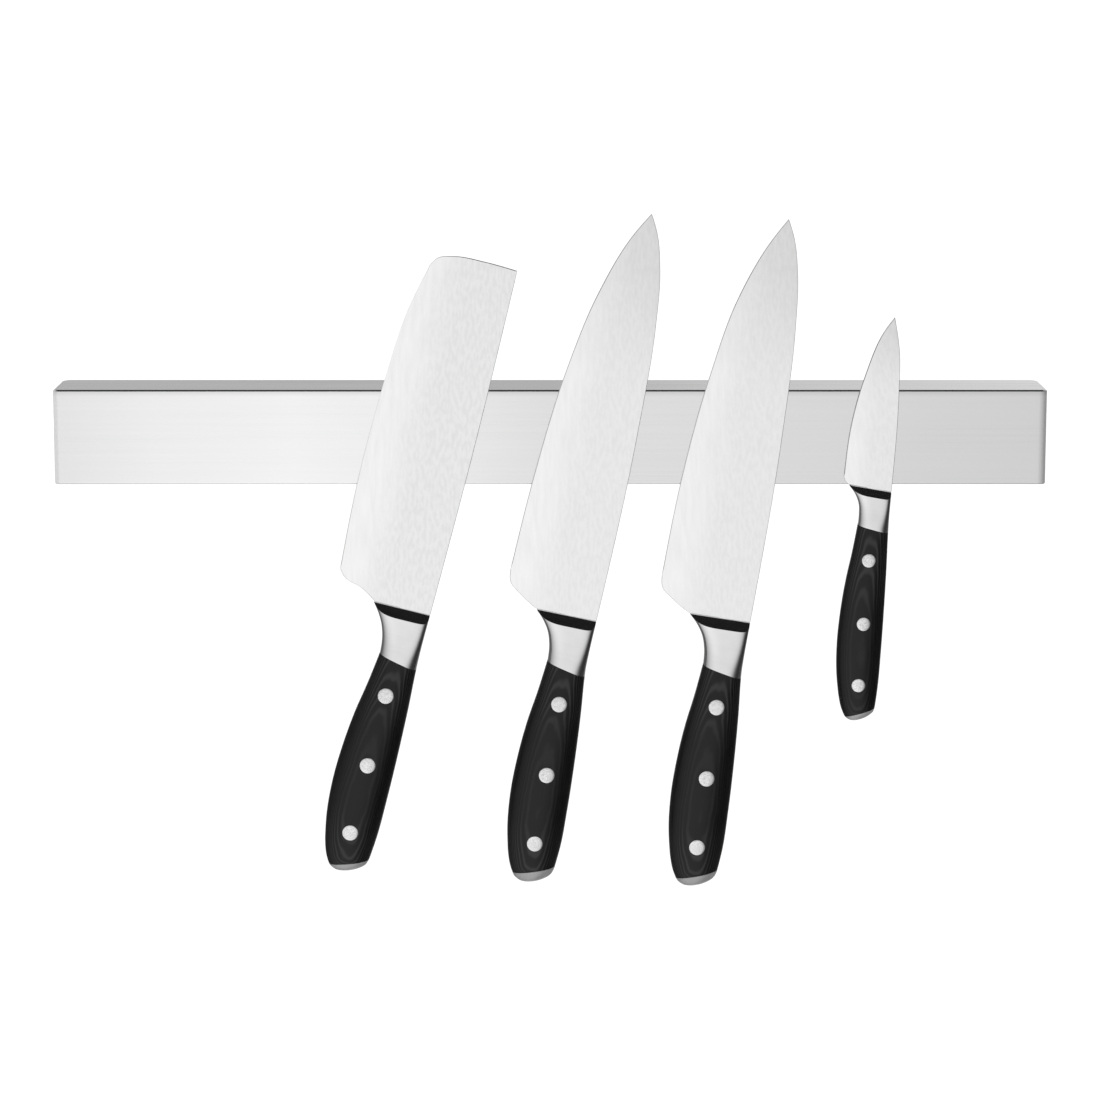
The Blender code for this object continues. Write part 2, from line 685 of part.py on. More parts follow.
def make_scales(knife, material):
    """The two halves of the grip, either side of the tang, drilled for the rivets."""
    for side, name in ((1, "front"), (-1, "back")):
        scale = handle_solid(knife, knife.part_name("scale_" + name))
        face = side * (knife.tang_half * MM + GAP)
        outer = side * THROUGH
        half_space = add_cutter(box(knife.part_name("scale_side_" + name),
                                    (-3 * THROUGH, -THROUGH, min(face, outer)),
                                    (THROUGH, THROUGH, max(face, outer))), knife.empty)
        boolean(scale, half_space, "INTERSECT")
        boolean(scale, slanted_region(knife, "scale_top_" + name, FOOT_LINE, FOOT_LINE_SLOPE, -GAP, True))
        boolean(scale, slanted_region(knife, "scale_end_" + name, CAP_LINE, CAP_LINE_SLOPE, GAP, False))
        for index, (x, y) in enumerate(rivet_places(knife)):
            hole = add_cutter(cylinder(knife.part_name(f"scale_hole_{name}_{index + 1}"),
                                       knife.rivet_radius * MM + GAP, THROUGH, ROUND_SIDES,
                                       Matrix.Translation((x, y, 0))), knife.empty)
            boolean(scale, hole)
        add_part(scale, material, knife.empty)


def make_rivets(knife, material):
    """Solid rivets through both scales and the tang, their heads dressed to the handle's curve."""
    form = add_cutter(handle_solid(knife, knife.part_name("rivet_form"), grow=RIVET_PROUD), knife.empty)
    for index, (x, y) in enumerate(rivet_places(knife)):
        rivet = cylinder(knife.part_name(f"rivet_{index + 1}"), knife.rivet_radius * MM, THROUGH,
                         ROUND_SIDES)
        rivet.location = (x, y, 0)
        boolean(rivet, form, "INTERSECT")
        add_part(rivet, material, knife.empty)


def make_end_cap(knife, material):
    cap = handle_solid(knife, knife.part_name("end_cap"))
    boolean(cap, slanted_region(knife, "cap_region", CAP_LINE, CAP_LINE_SLOPE, 0, False), "INTERSECT")
    add_part(cap, material, knife.empty)


def make_knife(knife, blade_steel, satin_steel, wood, rivet_steel, cap_steel):
    knife.empty = knife_empty(knife)
    make_blade(knife, blade_steel)
    make_bolster(knife, satin_steel)
    make_scales(knife, wood)
    make_rivets(knife, rivet_steel)
    make_end_cap(knife, cap_steel)


clear_scene()
parts_collection = new_collection("knife_magnetic_rack")
cutter_collection = new_collection("cutters")

make_front_cover(new_material("cover_steel", (0.72, 0.72, 0.72), 0.3, 1.0))
make_pole_rails(new_material("pole_steel", (0.42, 0.43, 0.45), 0.45, 1.0))
make_magnets(new_material("ferrite", (0.06, 0.06, 0.065), 0.6, 0.0))
make_magnet_tray(new_material("tray_plastic", (0.03, 0.03, 0.032), 0.5, 0.0))
make_back_plate(new_material("zinc_plate", (0.6, 0.62, 0.64), 0.4, 1.0))
make_backplate_screws(new_material("screw_zinc", (0.7, 0.7, 0.68), 0.3, 1.0))

KNIFE_MATERIALS = (
    new_material("blade_steel", (0.86, 0.86, 0.87), 0.25, 1.0),
    new_material("bolster_steel", (0.75, 0.75, 0.76), 0.22, 1.0),
    new_material("handle_wood", (0.012, 0.012, 0.013), 0.4, 0.0),
    new_material("rivet_steel", (0.8, 0.8, 0.8), 0.3, 1.0),
    new_material("cap_steel", (0.6, 0.6, 0.61), 0.3, 1.0),
)
for each_knife in KNIVES:
    make_knife(each_knife, *KNIFE_MATERIALS)
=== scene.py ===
"""The looks of a magnetic knife rack and its four kitchen knives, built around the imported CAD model.

Metres, +Z up, and the front of the bar faces -Y. Every piece of a knife is meshed in that knife's own
frame: local X runs along the spine towards the tip, local Y from the spine to the cutting edge, and
local Z through the thickness, towards the viewer. Sizes of the handles are in millimetres there.
"""

import bisect
import math

import bmesh
import bpy
from mathutils import Matrix, Vector


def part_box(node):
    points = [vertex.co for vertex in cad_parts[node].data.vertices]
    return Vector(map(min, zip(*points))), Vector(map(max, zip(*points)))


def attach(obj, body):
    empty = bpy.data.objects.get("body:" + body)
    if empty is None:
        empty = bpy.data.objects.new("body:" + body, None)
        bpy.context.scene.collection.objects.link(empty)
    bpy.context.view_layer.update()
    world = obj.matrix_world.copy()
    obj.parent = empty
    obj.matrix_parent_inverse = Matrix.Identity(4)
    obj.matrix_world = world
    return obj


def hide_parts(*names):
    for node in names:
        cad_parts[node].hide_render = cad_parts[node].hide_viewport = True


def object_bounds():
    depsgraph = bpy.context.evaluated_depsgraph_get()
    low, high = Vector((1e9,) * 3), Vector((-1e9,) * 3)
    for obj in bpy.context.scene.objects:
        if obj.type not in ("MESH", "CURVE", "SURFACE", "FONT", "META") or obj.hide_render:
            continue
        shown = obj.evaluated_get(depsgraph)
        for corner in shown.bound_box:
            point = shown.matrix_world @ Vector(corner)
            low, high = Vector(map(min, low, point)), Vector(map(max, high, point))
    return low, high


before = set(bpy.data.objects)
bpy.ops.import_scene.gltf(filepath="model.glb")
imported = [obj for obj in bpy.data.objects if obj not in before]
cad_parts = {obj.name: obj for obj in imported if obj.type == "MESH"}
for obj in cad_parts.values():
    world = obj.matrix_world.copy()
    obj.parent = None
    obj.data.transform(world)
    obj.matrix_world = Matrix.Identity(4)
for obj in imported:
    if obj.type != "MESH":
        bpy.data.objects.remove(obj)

cad_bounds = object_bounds()

MM = 0.001

# The bar's folded cover
SHEET = 0.9 * MM
LONG_BEND = 1.0 * MM
END_BEND = 1.5 * MM
END_TAPER = 2.2 * MM
BACK_CORNER_RADIUS = 5 * MM
BEND_STEPS = 6
RACK_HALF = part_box("front_cover")[1].x
RACK_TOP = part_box("front_cover")[1].z

# The full-size handle, as (x, y) or (x, half thickness) points
BOLSTER_LENGTH = 24.8
HANDLE_SPINE = ((0, 0), (-28, 0), (-50, -1.5), (-75, -2.6), (-100, -3.1), (-120, -2.9), (-132, -1.7))
SPINE_BUTT = ((-132, -1.7), (-135.2, -0.5), (-138.2, 2.8), (-140.4, 7.2), (-141.3, 11))
HANDLE_BELLY = ((-24.8, 20.1), (-42, 22.3), (-59, 25), (-78, 26.8), (-96, 27.3), (-114, 26), (-127, 23.6))
BELLY_BUTT = ((-127, 23.6), (-137.4, 19.8), (-139.8, 18.2), (-141.3, 15.3))
HALF_THICKNESS = ((4, 5.6), (-12, 6.2), (-28, 7.2), (-60, 8.6), (-95, 9.3), (-125, 8.9), (-141.3, 7.6))
BUTT_ROUND_START = -133
BUTT_END = -141.3
BUTT_THICKNESS = 0.45
FOOT_LINE = (-24.8, 20)
FOOT_LINE_SLOPE = -0.21
CAP_LINE = (-139.3, 18.8)
CAP_LINE_SLOPE = 0.355
SHOULDER_HALF_WIDTH = 1.4
RIVET_X = (-44.7, -82.3, -119.1)
RIVET_RADIUS = 4.0
RIVET_GROWTH = 0.6
RIVET_PROUD = 0.12
RIVET_FLATNESS = 10

# How square the handle's section is along its length, on the spine side and on the belly side
SPINE_POWER = ((4, 7), (-8, 6), (-24.8, 3.2), (-45, 2.6), (-90, 2.35), (-141.3, 2.5))
BELLY_POWER = ((4, 3.8), (-24.8, 3.0), (-45, 2.7), (-90, 2.35), (-141.3, 2.5))

# The tang, the seams round it, and where across the handle a slanted line's place is read
TANG_SHARE = 0.78
TANG_GAP = 0.01
NECK_TOP = 3
NECK_Y = (5, 16)
SEAM = 0.06
END_INSET = 0.001
READING_Y = 10

# Blade rims: round spine and heel, and a bevel to the edge as (share inwards, share of the full thickness)
SPINE_ROUND = 0.18
HEEL_ROUND = 0.3
ROUND_DEGREES = (0, 30, 60, 90)
ROUND_LIMIT = 0.9
EDGE_BEVEL = 0.35
EDGE_HALF = 0.06
EDGE_CURVE = ((0, 0), (0.4, 0.42), (0.75, 0.76), (1, 1))
CORNER_ROOM = 0.12
CORNER_SPREAD = 0.22
MITRE_LIMIT = 0.5

# Mesh fineness
RUN_STEPS = 14
SOLVE_STEPS = 8
BOLSTER_POINTS = 96
BOLSTER_ROWS = 16
SCALE_POINTS = 40
SCALE_ROWS = 90
CAP_ROWS = 20
RIVET_POINTS = 40
RIVET_RINGS = (0.35, 0.7, 0.9, 0.97, 1.0)
WELD = 0.004 * MM
SLIVER = 0.002 * MM
TINY = 1e-9

# Degrees at which an edge is drawn sharp, and edges that are rounded off instead, as (width, degrees)
BLADE_CREASE = 34
GRIP_CREASE = 40
RIVET_CREASE = 50
NODE_CREASE = 30
BOLSTER_SOFTENING = (0.16 * MM, 32)
CAP_SOFTENING = (0.25 * MM, 45)
SOFT_SEGMENTS = 3

# Where the blades begin, in front of the bolster's top
BLADE_FOOT = 0.3


def chef_runs(length, tip_drop, trim):
    """The outline of a chef's blade: spine, edge and heel, as smooth runs that meet at corners."""
    spine = ((BLADE_FOOT, 0), (100, -0.3), (0.74 * length, 0.14 * tip_drop), (0.87 * length, 0.37 * tip_drop),
             (0.96 * length, 0.72 * tip_drop), (length, tip_drop))
    edge = ((length, tip_drop), (0.945 * length, tip_drop + 6.4), (0.785 * length, 34 - trim),
            (0.595 * length, 41.3 - trim), (0.335 * length, 46.2), (18, 48.1))
    heel = ((18, 48.1), (11.2, 46.8), (6, 40.7), (BLADE_FOOT, 31.5))
    return (("spine", spine), ("edge", edge), ("heel", heel))


NAKIRI_RUNS = (
    ("spine", ((BLADE_FOOT, 0), (90, -0.9), (182.7, 0))),
    ("heel", ((182.7, 0), (183.2, 16), (182, 33), (179.3, 40.2), (174.8, 43.1))),
    ("edge", ((174.8, 43.1), (150, 48.4), (110, 51.3), (60, 52.2), (12.5, 50))),
    ("heel", ((12.5, 50), (9, 47.2), (5.2, 36.8), (BLADE_FOOT, 29))),
)
PARING_RUNS = (
    ("spine", ((BLADE_FOOT, 0), (50, -0.1), (72.8, 1.3), (89.5, 4.9))),
    ("edge", ((89.5, 4.9), (82.3, 9.5), (58.9, 17.6), (32.7, 22.8), (6.5, 24.4))),
    ("heel", ((6.5, 24.4), (4.4, 23.6), (2.4 + BLADE_FOOT, 21.5))),
)
NAKIRI_BOLSTER = ((0, 29.3), (-4, 26.3), (-9.5, 23.2), (-17, 20.9), (-24.8, 20.1))
CHEF_BOLSTER = ((0.5, 31.4), (-4, 27), (-9.5, 23.3), (-17, 20.9), (-24.8, 20.1))
PARING_BOLSTER = ((2.4, 21.5), (-1.8, 18.2), (-7, 16), (-12, 15.5), (-17.4, 15.6))


# Curves through points

def tangents(points):
    """The slope vector at each point of a smooth run, from the points on either side of it."""
    lengths = [max((b - a).length, TINY) for a, b in zip(points, points[1:])]
    chords = [(b - a) / length for a, b, length in zip(points, points[1:], lengths)]
    inner = [
        (chords[i] * lengths[i + 1] + chords[i + 1] * lengths[i]) / (lengths[i] + lengths[i + 1])
        for i in range(len(chords) - 1)
    ]
    first = chords[0] * 1.5 - inner[0] * 0.5 if inner else chords[0]
    last = chords[-1] * 1.5 - inner[-1] * 0.5 if inner else chords[-1]
    return [first, *inner, last]


def smooth_run(corners, steps=RUN_STEPS):
    """Points along a smooth curve that passes through all the given corners."""
    points = [Vector(corner) for corner in corners]
    slopes = tangents(points)
    result = []
    for i in range(len(points) - 1):
        length = (points[i + 1] - points[i]).length
        for step in range(steps):
            t = step / steps
            result.append(
                points[i] * (2 * t**3 - 3 * t**2 + 1)
                + slopes[i] * length * (t**3 - 2 * t**2 + t)
                + points[i + 1] * (3 * t**2 - 2 * t**3)
                + slopes[i + 1] * length * (t**3 - t**2)
            )
    result.append(points[-1])
    return result


class Profile:
    """A smooth height over x, through (x, value) runs."""

    def __init__(self, *runs):
        points = sorted((point for run in runs for point in smooth_run(run)), key=lambda point: point.x)
        self.places = [point.x for point in points]
        self.values = [point.y for point in points]

    def at(self, x):
        right = bisect.bisect_left(self.places, x)
        if right == 0:
            return self.values[0]
        if right == len(self.places):
            return self.values[-1]
        left = right - 1
        span = max(self.places[right] - self.places[left], TINY)
        share = (x - self.places[left]) / span
        return self.values[left] + share * (self.values[right] - self.values[left])


SPINE_PROFILE = Profile(HANDLE_SPINE, SPINE_BUTT)
BELLY_PROFILE = Profile(HANDLE_BELLY, BELLY_BUTT)
THICKNESS_PROFILE = Profile(HALF_THICKNESS)
SPINE_POWER_PROFILE = Profile(SPINE_POWER)
BELLY_POWER_PROFILE = Profile(BELLY_POWER)


def arc(centre, radius, start_degrees, end_degrees, steps):
    """Points along an arc, both ends included."""
    points = []
    for step in range(steps + 1):
        angle = math.radians(start_degrees + (end_degrees - start_degrees) * step / steps)
        points.append(Vector((centre[0] + radius * math.cos(angle), centre[1] + radius * math.sin(angle))))
    return points


class Line:
    """A slanted line across the handle: x = start - slope * y."""

    def __init__(self, start, slope):
        self.start = start
        self.slope = slope

    def x(self, y):
        return self.start - self.slope * y

    def towards(self, other, share):
        return Line(self.start + (other.start - self.start) * share,
                    self.slope + (other.slope - self.slope) * share)


class Knife:
    """One knife: its body in the frame, its outlines, and its own axes as a matrix."""

    def __init__(self, body, prefix, blade_runs, bolster_belly, rivet_y, droop, spine_bulge=1.0, ripple=0.62,
                 tip_painted_shade=0.82, shoulder_slant=0.0, grip_scale=1.0, width_scale=1.0, spine_half=1.15,
                 distal_taper=0.0018, grind=0.0165):
        self.body = body
        self.prefix = prefix
        self.blade_runs = blade_runs
        self.bolster_profile = Profile(bolster_belly)
        self.bolster_length = -bolster_belly[-1][0]
        self.rivet_y = rivet_y
        self.droop = math.tan(math.radians(droop))
        self.ripple = ripple
        self.tip_painted_shade = tip_painted_shade
        self.spine_bulge = spine_bulge
        self.grip_scale = grip_scale
        self.width_scale = width_scale
        self.spine_half = spine_half
        self.distal_taper = distal_taper
        self.grind = grind
        self.tang_half = TANG_SHARE * spine_half
        self.rivet_radius = RIVET_RADIUS * width_scale**RIVET_GROWTH
        self.shoulder = SHOULDER_HALF_WIDTH * width_scale
        self.length = max(point[0] for _, run in blade_runs for point in run)
        self.width = max(point[1] for _, run in blade_runs for point in run)
        self.top_line = Line(0, -math.tan(math.radians(shoulder_slant)))
        foot_x = self.along(FOOT_LINE[0]) + FOOT_LINE_SLOPE * FOOT_LINE[1] * width_scale
        cap_x = self.along(CAP_LINE[0]) + CAP_LINE_SLOPE * CAP_LINE[1] * width_scale
        self.foot_line = Line(foot_x, FOOT_LINE_SLOPE)
        self.cap_line = Line(cap_x, CAP_LINE_SLOPE)
        self.axes = self.read_axes()

    def along(self, station):
        """Where a station of the full-size handle lies on this knife."""
        if station > -BOLSTER_LENGTH:
            return station * self.bolster_length / BOLSTER_LENGTH
        return -self.bolster_length + (station + BOLSTER_LENGTH) * self.grip_scale

    def station(self, x):
        """The station of the full-size handle that lies at x on this knife."""
        if x > -self.bolster_length:
            return x * BOLSTER_LENGTH / self.bolster_length
        return -BOLSTER_LENGTH + (x + self.bolster_length) / self.grip_scale

    def sag(self, x):
        return self.droop * max(-self.bolster_length - x, 0)

    def rivet_place(self, index):
        x = self.along(RIVET_X[index])
        return Vector((x, self.rivet_y + self.sag(x)))

    def read_axes(self):
        """The knife's own frame, worked out from where the CAD rivets are."""
        first, towards = rivet_centre_and_axis(self.prefix + "_rivet_1")
        last, _ = rivet_centre_and_axis(self.prefix + "_rivet_3")
        local = self.rivet_place(0) - self.rivet_place(2)
        line = (first - last).normalized()
        side = towards.cross(line)
        lean = math.atan2(local.y, local.x)
        along = (line * math.cos(lean) - side * math.sin(lean)).normalized()
        across = towards.cross(along)
        place = self.rivet_place(0) * MM
        origin = first - along * place.x - across * place.y
        turn = Matrix((along, across, towards)).transposed().to_4x4()
        return Matrix.Translation(origin) @ turn

    def section(self, x):
        """The handle's middle, half width and half thickness at x, and the powers of its two sides."""
        station = self.station(x)
        spine = SPINE_PROFILE.at(station)
        if spine < 0:
            spine *= self.spine_bulge
        spine *= self.width_scale
        if x > -self.bolster_length:
            belly = self.bolster_profile.at(x)
        else:
            belly = BELLY_PROFILE.at(station) * self.width_scale
        half = THICKNESS_PROFILE.at(station) * self.width_scale
        if station < BUTT_ROUND_START:
            depth = min((BUTT_ROUND_START - station) / (BUTT_ROUND_START - BUTT_END), 1)
            half *= BUTT_THICKNESS + (1 - BUTT_THICKNESS) * math.sqrt(1 - depth**2)
        powers = (BELLY_POWER_PROFILE.at(station), SPINE_POWER_PROFILE.at(station))
        return ((spine + belly) / 2 + self.sag(x), (belly - spine) / 2, half, powers)

    def surface(self, x, angle):
        """The point of the handle's outer form at x, at an angle round its section."""
        middle, reach, half, powers = self.section(x)
        c = math.cos(angle)
        s = math.sin(angle)
        power = powers[0] if c > 0 else powers[1]
        y = middle + reach * math.copysign(abs(c) ** (2 / power), c)
        z = half * math.copysign(abs(s) ** (2 / power), s)
        return Vector((x, y, z))

    def on_line(self, line, angle):
        """The point of the outer form where it crosses a slanted line, at an angle round the section."""
        x = line.start
        for _ in range(SOLVE_STEPS):
            x = line.x(self.surface(x, angle).y)
        return self.surface(x, angle)

    def height(self, x, y):
        """The half thickness of the handle over a point of its middle plane."""
        middle, reach, half, powers = self.section(x)
        power = powers[0] if y > middle else powers[1]
        share = min(abs(y - middle) / reach, 1)
        return half * (1 - share**power) ** (1 / power)

    def rim_angles(self, x, z):
        """The angles round the section, on the edge side and the spine side, where the surface is z high."""
        _, _, half, powers = self.section(x)
        share = min(z / half, 1)
        return math.asin(share ** (powers[0] / 2)), math.pi - math.asin(share ** (powers[1] / 2))

    def half_blade(self, x, y):
        return self.spine_half - self.distal_taper * x - self.grind * y


def box_centre(points):
    return Vector([(min(values) + max(values)) / 2 for values in zip(*points)])


def rivet_centre_and_axis(node):
    """The middle of a rivet, and the unit vector from its back end to its front end."""
    points = [vert.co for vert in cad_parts[node].data.vertices]
    low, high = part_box(node)
    middle_y = (low.y + high.y) / 2
    front = box_centre([point for point in points if point.y < middle_y])
    back = box_centre([point for point in points if point.y >= middle_y])
    return (front + back) / 2, (front - back).normalized()


# Mesh helpers

def mesh_piece(name, verts, faces, axes=Matrix()):
    """An object from points and faces, with its normals made to face out."""
    mesh = bpy.data.meshes.new(name)
    mesh.from_pydata([tuple(vert) for vert in verts], [], faces)
    bm = bmesh.new()
    bm.from_mesh(mesh)
    bmesh.ops.remove_doubles(bm, verts=bm.verts, dist=WELD)
    bmesh.ops.dissolve_degenerate(bm, edges=bm.edges, dist=SLIVER)
    bmesh.ops.recalc_face_normals(bm, faces=bm.faces)
    bm.to_mesh(mesh)
    bm.free()
    piece = bpy.data.objects.new(name, mesh)
    bpy.context.scene.collection.objects.link(piece)
    piece.matrix_world = axes
    return piece


def loft(rows, closed=True):
    """Points and faces of a skin over rows of equal length, with a flat face at each end."""
    count = len(rows[0])
    verts = [point for row in rows for point in row]
    faces = []
    for k in range(len(rows) - 1):
        for i in range(count if closed else count - 1):
            j = (i + 1) % count
            a = k * count
            b = a + count
            faces.append((a + i, a + j, b + j, b + i))
    if closed:
        faces.append(tuple(range(count)))
        faces.append(tuple(range(len(verts) - count, len(verts))))
    return verts, faces


def join_shapes(*shapes):
    """Several (points, faces) shapes as one."""
    verts = []
    faces = []
    for shape_verts, shape_faces in shapes:
        start = len(verts)
        verts += shape_verts
        faces += [tuple(start + i for i in face) for face in shape_faces]
    return verts, faces


def in_metres(shape):
    verts, faces = shape
    return [vert * MM for vert in verts], faces


def crisp(piece, sharp_degrees):
    """Smooth shading with sharp edges above an angle."""
    piece.data.shade_smooth()
    piece.data.set_sharp_from_angle(angle=math.radians(sharp_degrees))


def soften_edges(piece, width, limit_degrees):
    """A small rounded bevel along the sharp edges, and normals that keep the large faces flat."""
    piece.data.shade_smooth()
    bevel = piece.modifiers.new("Soft edges", "BEVEL")
    bevel.width = width
    bevel.segments = SOFT_SEGMENTS
    bevel.limit_method = "ANGLE"
    bevel.angle_limit = math.radians(limit_degrees)
    weigh_normals(piece)


def weigh_normals(piece):
    modifier = piece.modifiers.new("Weighted normals", "WEIGHTED_NORMAL")
    modifier.mode = "FACE_AREA"
    modifier.weight = 80


def finish_piece(piece, material, body, slot, *nodes):
    piece.data.materials.clear()
    piece.data.materials.append(material)
    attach(piece, body)
    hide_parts(*nodes)
    return piece


# Material helpers

class Nodes:
    """Short ways to add nodes to a node tree. Where a value is asked for, it is a socket or a number."""

    def __init__(self, tree):
        self.tree = tree

    def add(self, kind):
        return self.tree.nodes.new("ShaderNode" + kind)

    def feed(self, value, socket):
        if not isinstance(value, (int, float)):
            self.tree.links.new(value, socket)
        elif socket.type == "RGBA":
            socket.default_value = (value, value, value, 1.0)
        else:
            socket.default_value = value

    def math(self, operation, a, b=0.0):
        node = self.add("Math")
        node.operation = operation
        self.feed(a, node.inputs[0])
        self.feed(b, node.inputs[1])
        return node.outputs["Value"]

    def part(self, vector, name):
        """The X, Y or Z part of a vector."""
        node = self.add("SeparateXYZ")
        self.feed(vector, node.inputs["Vector"])
        return node.outputs[name]

    def remap(self, value, low, high, to_low=0.0, to_high=1.0, smooth=False):
        node = self.add("MapRange")
        node.interpolation_type = "SMOOTHSTEP" if smooth else "LINEAR"
        node.inputs["From Min"].default_value = low
        node.inputs["From Max"].default_value = high
        node.inputs["To Min"].default_value = to_low
        node.inputs["To Max"].default_value = to_high
        self.feed(value, node.inputs["Value"])
        return node.outputs["Result"]

    def ramp(self, value, *stops):
        """A colour for each value, from (position, grey or colour) stops."""
        node = self.add("ValToRGB")
        elements = node.color_ramp.elements
        while len(elements) < len(stops):
            elements.new(0.5)
        for element, (position, color) in zip(elements, stops):
            element.position = position
            rgb = (color, color, color) if isinstance(color, (int, float)) else color
            element.color = (*rgb, 1.0)
        self.feed(value, node.inputs["Fac"])
        return node.outputs["Color"]

    def mix(self, share, a, b, blend="MIX"):
        node = self.add("Mix")
        node.data_type = "RGBA"
        node.blend_type = blend
        colors = [socket for socket in node.inputs if socket.type == "RGBA"]
        self.feed(a, colors[0])
        self.feed(b, colors[1])
        self.feed(share, node.inputs["Factor"])
        return next(socket for socket in node.outputs if socket.type == "RGBA")

    def times(self, a, b):
        return self.mix(1.0, a, b, blend="MULTIPLY")


class Shader(Nodes):
    """A surface material under construction, in the object's own coordinates."""

    def __init__(self, name, metallic, roughness, specular=0.5):
        self.material = bpy.data.materials.new(name)
        self.material.use_nodes = True
        super().__init__(self.material.node_tree)
        self.surface = self.tree.nodes["Principled BSDF"].inputs
        self.surface["Metallic"].default_value = metallic
        self.surface["Roughness"].default_value = roughness
        self.surface["Specular IOR Level"].default_value = specular
        self.coordinates = self.add("TexCoord").outputs["Object"]

    def axis(self, name):
        return self.part(self.coordinates, name)

    def normal_axis(self, name):
        """How far the surface faces along one of the object's own axes."""
        return self.part(self.add("TexCoord").outputs["Normal"], name)

    def stretched(self, frequencies, turn_degrees):
        """Object coordinates turned about Z, then multiplied by a frequency along each axis."""
        node = self.add("Mapping")
        node.vector_type = "TEXTURE"
        node.inputs["Scale"].default_value = [1 / frequency for frequency in frequencies]
        node.inputs["Rotation"].default_value = (0, 0, math.radians(turn_degrees))
        self.feed(self.coordinates, node.inputs["Vector"])
        return node.outputs["Vector"]

    def noise(self, frequency, detail=3.0, roughness=0.5, turn_degrees=0.0):
        """Noise of one frequency every way, or of one frequency along each axis, turned about Z."""
        node = self.add("TexNoise")
        even = isinstance(frequency, (int, float))
        vector = self.coordinates if even else self.stretched(frequency, turn_degrees)
        node.inputs["Scale"].default_value = frequency if even else 1.0
        node.inputs["Detail"].default_value = detail
        node.inputs["Roughness"].default_value = roughness
        self.feed(vector, node.inputs["Vector"])
        return node.outputs["Fac"]

    def color(self, value):
        self.feed(value, self.surface["Base Color"])

    def metallic(self, value):
        self.feed(value, self.surface["Metallic"])

    def roughness(self, value):
        self.feed(value, self.surface["Roughness"])

    def bump(self, height, strength, distance):
        node = self.add("Bump")
        node.inputs["Strength"].default_value = strength
        node.inputs["Distance"].default_value = distance
        self.feed(height, node.inputs["Height"])
        self.feed(node.outputs["Normal"], self.surface["Normal"])


# Materials

# Painted light on the cover from the bar's left end to its right, on the front and on the flanges, with a
# painted dark band at the front's right end bend
FRONT_PAINTED_LIGHT = ((0.0, 0.85), (0.10, 0.94), (0.24, 1.0), (0.36, 0.96), (0.5, 0.84), (0.65, 0.83), (0.8, 0.80),
              (0.992, 0.77), (0.997, 0.50), (1.0, 0.36))
FLANGE_PAINTED_LIGHT = ((0.0, 0.72), (0.3, 0.665), (0.5, 0.61), (0.65, 0.78), (1.0, 0.95))

# A strip of painted shade under the top fold, and the ends, where the sheet scatters the light more
FOLD_REACH = 3.4 * MM
FOLD_EDGE = 0.8 * MM
FOLD_PAINTED_SHADE = 0.82
END_METALLIC = 0.35
END_ROUGHNESS = 0.3

# The lean of the cladding's ripples, their tone and depth, and the tone of the plain band by the edge: its
# own polish, and painted light that leaves the spine side darker
RIPPLE_TURN = 12
RIPPLE_TONE = 0.86
RIPPLE_DEPTH = 0.09
PLAIN_BAND_AND_PAINTED_LIGHT = 0.90

# The laminated grip's layers, and where it is plainest, along the full-size handle
LAYER_PITCH = 0.52 * MM
LAYER_SWAY = 0.30 * MM
GRIP_MIDDLE = -84 * MM
PLAIN_FROM = 18 * MM
PLAIN_TO = 42 * MM

# How fine the zinc's mottle is, in cells to a metre
PLATE_MOTTLE = 260
SCREW_MOTTLE = 900


def cover_material():
    """Stainless sheet brushed along the bar, with painted light along the front and the flanges and painted
    shade under the top fold.
    """
    shader = Shader("brushed_cover_steel", metallic=1.0, roughness=0.24)
    grain = shader.noise((3, 260, 700), detail=5, roughness=0.65)
    cloud = shader.noise((9, 22, 22), detail=2)
    streaks = shader.noise((5, 420, 1), detail=3, roughness=0.6)
    tone = shader.mix(0.6, shader.ramp(grain, (0.3, 0.985), (0.7, 1.0)),
                      shader.ramp(cloud, (0.3, 0.97), (0.7, 1.0)))
    # Painted light along the bar on the front, ending in a painted dark band on the right end's bend
    along = shader.remap(shader.axis("X"), -RACK_HALF, RACK_HALF)
    # Painted shade: the front darkens towards the top fold
    fold = shader.remap(shader.axis("Z"), RACK_TOP - FOLD_REACH, RACK_TOP - FOLD_EDGE)
    front = shader.times(shader.ramp(along, *FRONT_PAINTED_LIGHT), shader.ramp(fold, (0.0, 1.0), (1.0, FOLD_PAINTED_SHADE)))
    flange = shader.times(shader.ramp(along, *FLANGE_PAINTED_LIGHT), shader.ramp(streaks, (0.3, 0.86), (0.7, 1.0)))
    # Upward faces take the flange's painted light, the rest the front's painted light
    upward = shader.remap(shader.normal_axis("Z"), 0.6, 0.95)
    shader.color(shader.times(tone, shader.mix(upward, front, flange)))
    from_middle = shader.math("ABSOLUTE", shader.axis("X"))
    end = shader.remap(from_middle, RACK_HALF - 1.6 * END_BEND, RACK_HALF - 0.5 * END_BEND)
    shader.metallic(shader.remap(end, 0, 1, 1.0, END_METALLIC))
    shader.roughness(shader.math("ADD", shader.remap(grain, 0.3, 0.7, 0.25, 0.28),
                                 shader.math("MULTIPLY", end, END_ROUGHNESS)))
    shader.bump(grain, 0.005, 0.01 * MM)
    return shader.material


